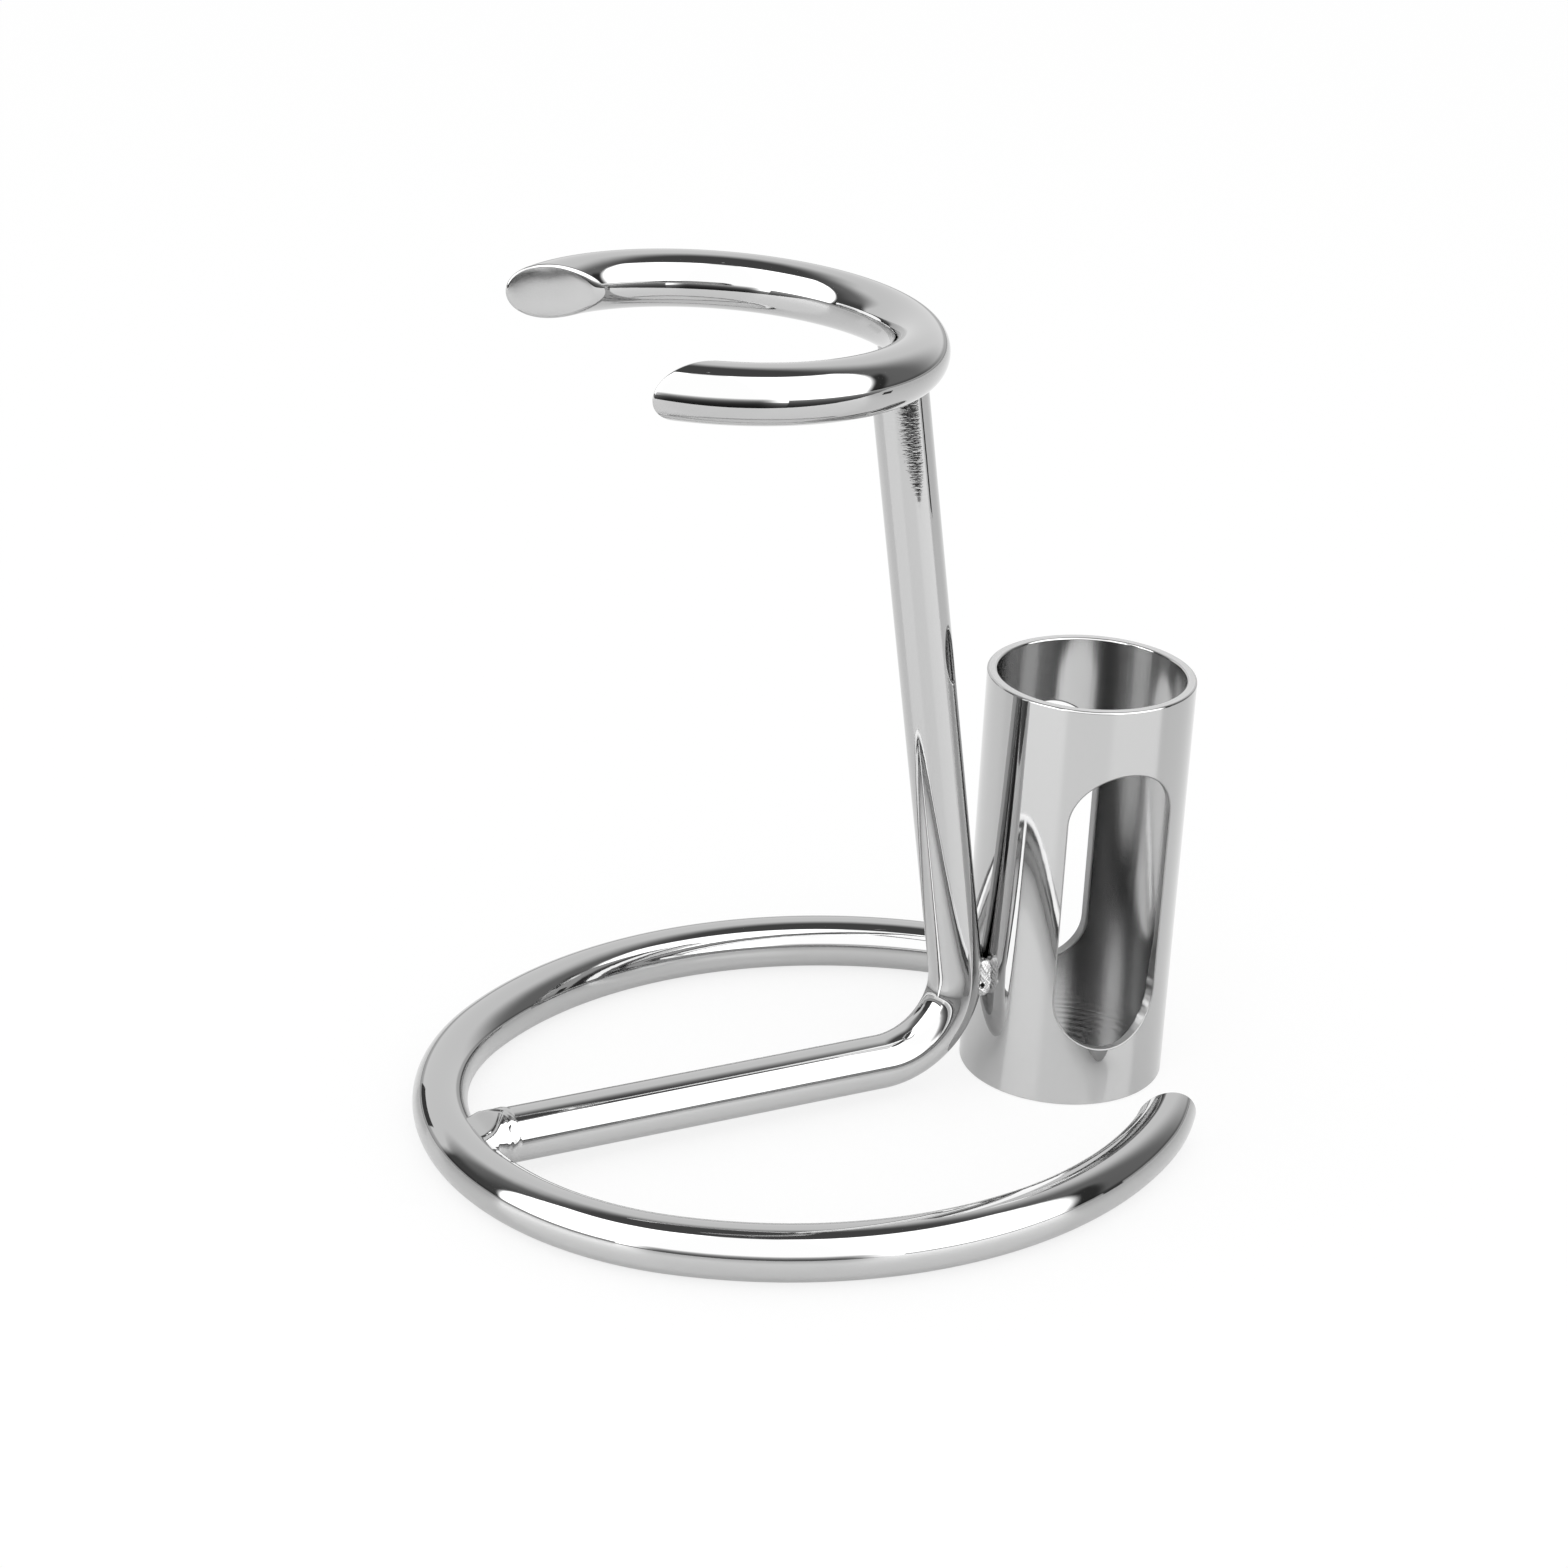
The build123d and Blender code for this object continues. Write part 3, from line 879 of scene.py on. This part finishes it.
def plated(name):
    """Plated metal from PLATED: its roughness wanders, and noise makes the waves in the plate."""
    tone, roughness, wander, wave_mm, slope, scale = PLATED[name]
    material, tree = new_material(name)
    place = add(tree, "TexCoord").outputs["Object"]
    handled = add(tree, "TexNoise", {"Vector": place, "Scale": 1 / HANDLING, "Detail": 3.0})
    gloss = add(tree, "MapRange", {
        "Value": handled, "From Min": 0.3, "From Max": 0.7,
        "To Min": roughness - wander, "To Max": roughness + wander,
    })
    stretched = add(tree, "Mapping", {"Vector": place, "Scale": scale})
    waves = add(tree, "TexNoise", {"Vector": stretched, "Scale": 1 / (wave_mm * MM), "Detail": 2.0})
    # noise runs through about 0.4 of its height in a quarter of a wavelength
    depth = slope * wave_mm * MM / 1.6
    bump = add(tree, "Bump", {"Height": waves, "Strength": 1.0, "Distance": depth})
    if name == "chrome_plated_linished_bar":
        bump = linished(tree, place, bump)
    shade(tree, tone, {"Metallic": 1.0, "Roughness": gloss, "Normal": bump})
    return material


def linished(tree, place, under):
    """Furry cross scratches over the normal under: on the post's top, but not on its right side."""
    stretched = add(tree, "Mapping", {"Vector": place, "Scale": (0.3, 0.3, 1.0)})
    scratches = add(tree, "TexNoise", {"Vector": stretched, "Scale": 1 / SCRATCH, "Detail": 3.0})
    height = add(tree, "SeparateXYZ", {"Vector": place}).outputs["Z"]
    near_top = add(tree, "MapRange", {"Value": height, "From Min": LINISHED_FROM, "From Max": LINISHED_TO})
    facing = add(tree, "NewGeometry").outputs["True Normal"]
    sideways = add(tree, "SeparateXYZ", {"Vector": facing}).outputs["X"]
    not_right = add(tree, "MapRange", {
        "Value": sideways, "From Min": 0.1, "From Max": 0.2, "To Min": 1.0, "To Max": 0.0,
    })
    where = add(tree, "Math", {0: near_top, 1: not_right}, operation="MULTIPLY")
    return add(tree, "Bump", {
        "Height": scratches, "Strength": where, "Distance": 0.02 * MM, "Normal": under,
    })


def turned_disc():
    """Disc with turning marks, plated without buffing: a cloudy mirror with soft round bands."""
    material, tree = new_material("plated_turned_disc")
    place = add(tree, "TexCoord").outputs["Object"]
    centred = add(tree, "Mapping", {"Vector": place, "Location": (-layout().tube_x, 0.0, 0.0)})
    # a wave texture repeats after 2 pi / 20 units at scale 1
    scale = 2 * pi / 20 / DISC_BAND
    rings = add(tree, "TexWave", {"Vector": centred, "Scale": scale}, wave_type="RINGS", rings_direction="Z")
    bump = add(tree, "Bump", {"Height": rings.outputs["Fac"], "Distance": 0.03 * MM})
    shade(tree, "bore", {"Metallic": 1.0, "Roughness": 0.26, "Normal": bump})
    return material


def painted_shade_pit():
    """Gas hole that the plating didn't reach: nearly black, a painted shade of the deep hole over its bare
    metal.
    """
    material, tree = new_material("painted_shade_weld_pit")
    place = add(tree, "TexCoord").outputs["Object"]
    grain = add(tree, "TexNoise", {"Vector": place, "Scale": 1 / (0.15 * MM)})
    bump = add(tree, "Bump", {"Height": grain, "Distance": 0.02 * MM})
    shade(tree, "pit", {"Roughness": 0.8, "Normal": bump})
    return material


# ---------------------------------------------------------------- studio
def surround_glow(turn, rise):
    """Brightness of the studio in the direction turn degrees from -Y towards +X and rise degrees up.

    Softboxes fill the camera's side, between slanting sides and a round dark gap overhead, and shine
    strongest on the left. Dark gaps lie beside them, a pale backdrop closes the far side and fades out
    overhead, and below the level of the counter the room goes dark as e**(rise / 7).
    """
    left_gap, right_gap, back_gap = 0.09, 0.13, 0.14
    overhead = 0.10
    left_extra, right_extra = 1.5, 0.9
    darkest, floor_light = 0.026, 0.6
    turn = (turn + 180) % 360 - 180
    up = np.clip(rise, 0, 90)
    behind = np.where(turn < 0, turn + 360, turn)
    # gaps and backdrop
    gap = left_gap + right_gap * smooth_step(turn, 0, 90)
    gap = gap + back_gap * window(behind, 170, 190, 222, 250) * smooth_step(rise, 14, 28)
    left_end = 218 - 26 * smooth_step(up, 12, 34)
    glow = gap + (1 - gap) * window(behind, 84, 126, left_end, 225)
    glow = glow * (1 - 0.4 * (1 - smooth_step(rise, 2, 7)))
    fade = smooth_step(rise, 44, 68)
    glow = glow * (1 - fade) + overhead * fade
    # dark stripe along the softboxes' right side
    left = -106 - 0.27 * up
    right = 50 + 0.25 * up + 0.0047 * up**2
    stripe = window(turn, right - 3, right + 1, right + 8, right + 13)
    glow = glow * (1 - 0.75 * stripe * (1 - smooth_step(rise, 32, 42)))
    # round dark gap overhead
    cap_turn = radians(160)
    cap_rise = radians(64.6)
    a = np.radians(turn)
    b = np.radians(rise)
    towards = np.sin(b) * sin(cap_rise) + np.cos(b) * cos(cap_rise) * np.cos(a - cap_turn)
    from_cap = np.degrees(np.arccos(np.clip(towards, -1, 1)))
    overhead_edge = smooth_step(from_cap, 34, 37)
    # softboxes, which stand a little lower on the right
    foot = 2.0 - 4.0 * smooth_step(turn, -10, 10)
    inside = window(turn, left - 1.5, left + 1.5, right - 3, right + 3)
    inside = inside * smooth_step(rise, foot - 0.7, foot + 0.7)
    softbox = overhead_edge * np.where(rise > 55, np.maximum(inside, rise > 74), inside)
    level = SOFTBOX_GLOW + right_extra * smooth_step(turn, -6, 2)
    level = level + left_extra * (1 - smooth_step(turn, -58, -50))
    glow = np.where(rise > 0, glow, darkest + floor_light * np.exp(rise / 7))
    return glow * (1 - softbox) + level * softbox


def level_axes(turn):
    """The level directions towards turn, which is 0 at -Y and grows towards +X, and a quarter turn on."""
    return np.array([sin(turn), -cos(turn), 0]), np.array([cos(turn), sin(turn), 0])


def stage_surface(name, points, quads, material, in_view=False, glow=None):
    """Surface of the studio, which only reflections see unless it is in view."""
    mesh = bpy.data.meshes.new(name)
    mesh.from_pydata(points, [], quads)
    mesh.materials.append(material)
    if glow is not None:
        brightness = mesh.attributes.new("glow", "FLOAT", "POINT")
        brightness.data.foreach_set("value", glow.astype(np.float32).ravel())
    surface = link_object(name, mesh)
    surface.visible_camera = in_view
    surface.visible_diffuse = in_view
    surface.visible_shadow = in_view


def build_glowing(name, part, glow):
    """Stage surface that shines with a brightness of its own at each vertex."""
    material, tree = new_material(name + "_light")
    shine(tree, add(tree, "Attribute", attribute_name="glow").outputs["Fac"])
    material.cycles.emission_sampling = "NONE"
    stage_surface(name, part.points.reshape(-1, 3), patch_quads(part, 0), material, glow=glow)


def build_surround():
    """Sphere round the scene with the studio's brightness at each vertex."""
    studio = bpy.context.scene.studio_sizes
    turn = np.linspace(-180, 180, 361)[None, :-1]
    rise = np.linspace(-89.5, 89.5, 359)[:, None]
    a = np.radians(turn)
    b = np.radians(rise)
    directions = grid(np.sin(a) * np.cos(b), -np.cos(a) * np.cos(b), np.sin(b))
    points = directions * studio.surround_radius + np.array([0, 0, studio.surround_height])
    build_glowing("studio_surround", patch(points, -directions), surround_glow(turn, rise))


def build_card():
    """Upright card between the softboxes, dark at its foot: CARD_DARKEST + e**((height - half) / fall).

    Towards its sides it fades by a smooth step into the brightness of the surround behind it.
    """
    studio = bpy.context.scene.studio_sizes
    towards, beside = level_axes(studio.camera_turn)
    across = np.linspace(-1, 1, 41)[None, :] * studio.card_width / 2
    height = np.linspace(studio.card_low, studio.card_high, 60)[:, None]
    points = towards * studio.card_distance + across[..., None] * beside + grid(0, 0, height)
    glow = CARD_DARKEST + np.exp((height - studio.card_half) / studio.card_fall)
    turn = np.degrees(studio.camera_turn + np.arctan(across / studio.card_distance))
    rise = np.degrees(np.arctan(height / np.hypot(across, studio.card_distance)))
    side = smooth_step(np.abs(across), studio.card_width / 4, studio.card_width / 2)
    glow = (1 - side) * np.minimum(glow, SOFTBOX_GLOW) + side * surround_glow(turn, rise)
    build_glowing("studio_card", patch(points, -towards, wrap=False), glow)


def build_counter():
    """Flat pale floor. Its front edge lies ahead of the brush ring's centre and square to COUNTER_TURN."""
    studio = bpy.context.scene.studio_sizes
    reach = studio.counter_reach
    ahead, beside = level_axes(COUNTER_TURN)
    middle = layout().ring_centre * (1, 1, 0)
    front = middle + ahead * studio.counter_front
    back = middle - ahead * reach
    corners = [front - beside * reach, front + beside * reach, back + beside * reach, back - beside * reach]
    material, tree = new_material("matt_white_counter")
    place = add(tree, "TexCoord").outputs["Object"]
    mottle = add(tree, "TexNoise", {"Vector": place, "Scale": 1 / (40 * MM)})
    bump = add(tree, "Bump", {"Height": mottle, "Distance": 0.01 * MM})
    path = add(tree, "LightPath").outputs
    # only the metal sees the board's gloss, so that the floor round the stand stays plain
    gloss = add(tree, "Math", {0: path["Is Glossy Ray"], 1: COUNTER_GLOSS}, operation="MULTIPLY")
    board = add(tree, "BsdfPrincipled", {
        "Base Color": (*bpy.context.scene.stand_colours.counter, 1.0), "Roughness": 0.2,
        "Specular IOR Level": gloss, "Normal": bump,
    })
    white = add(tree, "Emission", {"Color": (1.0, 1.0, 1.0, 1.0), "Strength": 1.0})
    reflection = path["Is Glossy Ray"]
    view = {0: path["Is Camera Ray"], 1: path["Is Transmission Ray"]}
    direct = add(tree, "Math", view, operation="MAXIMUM")
    reflected = add(tree, "Math", {0: reflection, 1: studio.white_reflected}, operation="MULTIPLY")
    white_share = add(tree, "Math", {0: direct, 1: studio.white_seen, 2: reflected}, operation="MULTIPLY_ADD")
    shader = add(tree, "MixShader", {0: white_share, 1: board, 2: white})
    add(tree, "OutputMaterial", {"Surface": shader})
    stage_surface("studio_counter", corners, [(0, 1, 2, 3)], material, in_view=True)


def build_flag(name):
    """Upright dark board that faces the stand, from FLAGS. It is not lit: it shines faintly with painted
    light.
    """
    turn, distance, width, low, high = FLAGS[name]
    towards, beside = level_axes(radians(turn))
    beside = beside * (width * MM) / 2
    foot = towards * (distance * MM) + np.array([0, 0, low * MM])
    head = towards * (distance * MM) + np.array([0, 0, high * MM])
    corners = [foot - beside, foot + beside, head + beside, head - beside]
    material, tree = new_material("dim_glowing_flag")
    place = add(tree, "TexCoord").outputs["Object"]
    nap_glow = add(tree, "TexNoise", {"Vector": place, "Scale": 1 / (4 * MM)})
    # painted light: the flag's dim brightness is an emission that the felt's nap mottles
    shine(tree, add(tree, "MapRange", {"Value": nap_glow, "To Min": 0.05, "To Max": 0.09}))
    stage_surface(name, corners, [(0, 1, 2, 3)], material)


def build_world():
    """White wherever the camera, a reflection or glass looks past the floor, and a soft fill elsewhere."""
    world = bpy.data.worlds.new("studio_white")
    world.use_nodes = True
    tree = world.node_tree
    tree.nodes.clear()
    path = add(tree, "LightPath").outputs
    seen = add(tree, "Math", {0: path["Is Camera Ray"], 1: path["Is Glossy Ray"]}, operation="MAXIMUM")
    seen = add(tree, "Math", {0: seen, 1: path["Is Transmission Ray"]}, operation="MAXIMUM")
    strength = add(tree, "MapRange", {"Value": seen, "To Min": WORLD_FILL, "To Max": 1.0})
    shader = add(tree, "Background", {"Color": (1.0, 1.0, 1.0, 1.0), "Strength": strength})
    add(tree, "OutputWorld", {"Surface": shader})
    bpy.context.scene.world = world


def build_lamp():
    """Soft overhead lamp in front of the stand, for the floor's soft shadow. Reflections don't see it."""
    lamp_data = bpy.data.lights.new("softbox_lamp", "AREA")
    lamp_data.shape = "SQUARE"
    lamp_data.size = LAMP_SIZE
    lamp_data.energy = LAMP_POWER
    lamp = link_object("softbox_lamp", lamp_data)
    place = Vector(LAMP_PLACE)
    aim = Vector(LAMP_AIM) - place
    lamp.matrix_world = Matrix.Translation(place) @ aim.to_track_quat("-Z", "Y").to_matrix().to_4x4()
    lamp.visible_glossy = False


def build_camera():
    """Camera at the photograph's place: its axes are turned about Z, dipped and rolled."""
    studio = bpy.context.scene.studio_sizes
    dip = studio.camera_dip
    roll = studio.camera_roll
    towards, right = level_axes(studio.camera_turn)
    back = towards * cos(dip) + np.array([0, 0, sin(dip)])
    up = np.cross(back, right)
    rolled_right = cos(roll) * right + sin(roll) * up
    rolled_up = cos(roll) * up - sin(roll) * right
    place = (-studio.camera_x, -studio.camera_y, studio.camera_z)
    turned = Matrix(np.stack([rolled_right, rolled_up, back], axis=1).tolist()).to_4x4()
    camera_data = bpy.data.cameras.new("camera")
    camera_data.lens = studio.lens
    camera_data.sensor_width = SENSOR_WIDTH
    camera_data.clip_start = 10 * MM
    camera = link_object("camera", camera_data)
    camera.matrix_world = Matrix.Translation(place) @ turned
    bpy.context.scene.camera = camera


# ---------------------------------------------------------------- operators
class STAND_OT_base_ring(bpy.types.Operator):
    """Build the open oval ring that lies on the counter"""

    bl_idname = "stand.base_ring"
    bl_label = "Base Ring"

    def execute(self, context):
        finishes = [plated("chrome_plated_bar"), plated("satin_chrome_cut")]
        make_piece("polished_base_ring", build_base_ring(), finishes, "bar_chrome", "base_ring")
        return {"FINISHED"}


class STAND_OT_upright(bpy.types.Operator):
    """Build the bar that is the spoke, the bend and the post"""

    bl_idname = "stand.upright"
    bl_label = "Upright Bar"

    def execute(self, context):
        finishes = [plated("chrome_plated_linished_bar")]
        make_piece("polished_upright_bar", build_upright(), finishes, "bar_chrome", "upright_bar")
        return {"FINISHED"}


class STAND_OT_brush_ring(bpy.types.Operator):
    """Build the open ring that holds the brush"""

    bl_idname = "stand.brush_ring"
    bl_label = "Brush Ring"

    def execute(self, context):
        finishes = [plated("chrome_plated_bar"), plated("satin_chrome_cut")]
        make_piece("polished_brush_ring", build_brush_ring(), finishes, "bar_chrome", "brush_ring")
        return {"FINISHED"}


class STAND_OT_razor_tube(bpy.types.Operator):
    """Build the slotted tube that holds the razor, and finish its floor disc"""

    bl_idname = "stand.razor_tube"
    bl_label = "Razor Tube"

    def execute(self, context):
        names = ("chrome_plated_tube", "plated_drawn_bore", "satin_chrome_rim", "satin_chrome_slot")
        finishes = [plated(name) for name in names]
        make_piece("slotted_razor_tube", build_razor_tube(), finishes, "tube_chrome", "razor_tube")
        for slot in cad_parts["tube_floor"].material_slots:
            slot.material = turned_disc()
        return {"FINISHED"}


class STAND_OT_welds(bpy.types.Operator):
    """Build the four weld beads"""

    bl_idname = "stand.welds"
    bl_label = "Welds"

    def execute(self, context):
        bead = plated("chrome_plated_weld")
        buffed = plated("chrome_plated_bar")
        make_piece("webbed_base_weld", build_base_weld(), [buffed], "weld_chrome", "base_weld")
        buffed = plated("chrome_plated_bar")
        make_piece("smooth_ring_weld", build_ring_weld(), [buffed], "weld_chrome", "ring_weld")
        front = build_tube_weld(-1, 1.0, True)
        make_piece("crinkled_front_weld", front, [bead, painted_shade_pit()], "weld_chrome", "tube_weld_front")
        back = build_tube_weld(1, 5.0, False)
        make_piece("crinkled_back_weld", back, [bead], "weld_chrome", "tube_weld_back")
        return {"FINISHED"}


class STAND_OT_studio(bpy.types.Operator):
    """Build the floor, the lights and the camera"""

    bl_idname = "stand.studio"
    bl_label = "Studio"

    def execute(self, context):
        build_counter()
        build_surround()
        build_card()
        for name in FLAGS:
            build_flag(name)
        build_world()
        build_lamp()
        build_camera()
        context.scene.view_settings.view_transform = "Standard"
        return {"FINISHED"}


class STAND_PT_panel(bpy.types.Panel):
    """Buttons and sizes of the stand"""

    bl_idname = "STAND_PT_panel"
    bl_label = "Shaving Stand"
    bl_space_type = "VIEW_3D"
    bl_region_type = "UI"
    bl_category = "Stand"

    def draw(self, context):
        for operator in OPERATORS:
            self.layout.operator(operator.bl_idname)
        for group in GROUPS:
            settings = getattr(context.scene, group)
            for name in settings.__annotations__:
                self.layout.prop(settings, name)


GROUPS = {
    "stand_sizes": StandSizes,
    "tube_sizes": TubeSizes,
    "weld_sizes": WeldSizes,
    "stand_colours": StandColours,
    "studio_sizes": StudioSizes,
}
OPERATORS = (
    STAND_OT_studio,
    STAND_OT_base_ring,
    STAND_OT_upright,
    STAND_OT_brush_ring,
    STAND_OT_razor_tube,
    STAND_OT_welds,
)
CLASSES = (*GROUPS.values(), *OPERATORS, STAND_PT_panel)


def register():
    for entry in CLASSES:
        bpy.utils.register_class(entry)
    for name, group in GROUPS.items():
        setattr(bpy.types.Scene, name, PointerProperty(type=group))


def unregister():
    for name in GROUPS:
        delattr(bpy.types.Scene, name)
    for entry in reversed(CLASSES):
        bpy.utils.unregister_class(entry)


def main():
    """Runs the operators in order."""
    register()
    bpy.ops.stand.studio()
    bpy.ops.stand.base_ring()
    bpy.ops.stand.upright()
    bpy.ops.stand.brush_ring()
    bpy.ops.stand.razor_tube()
    bpy.ops.stand.welds()


if __name__ == "__main__":
    main()
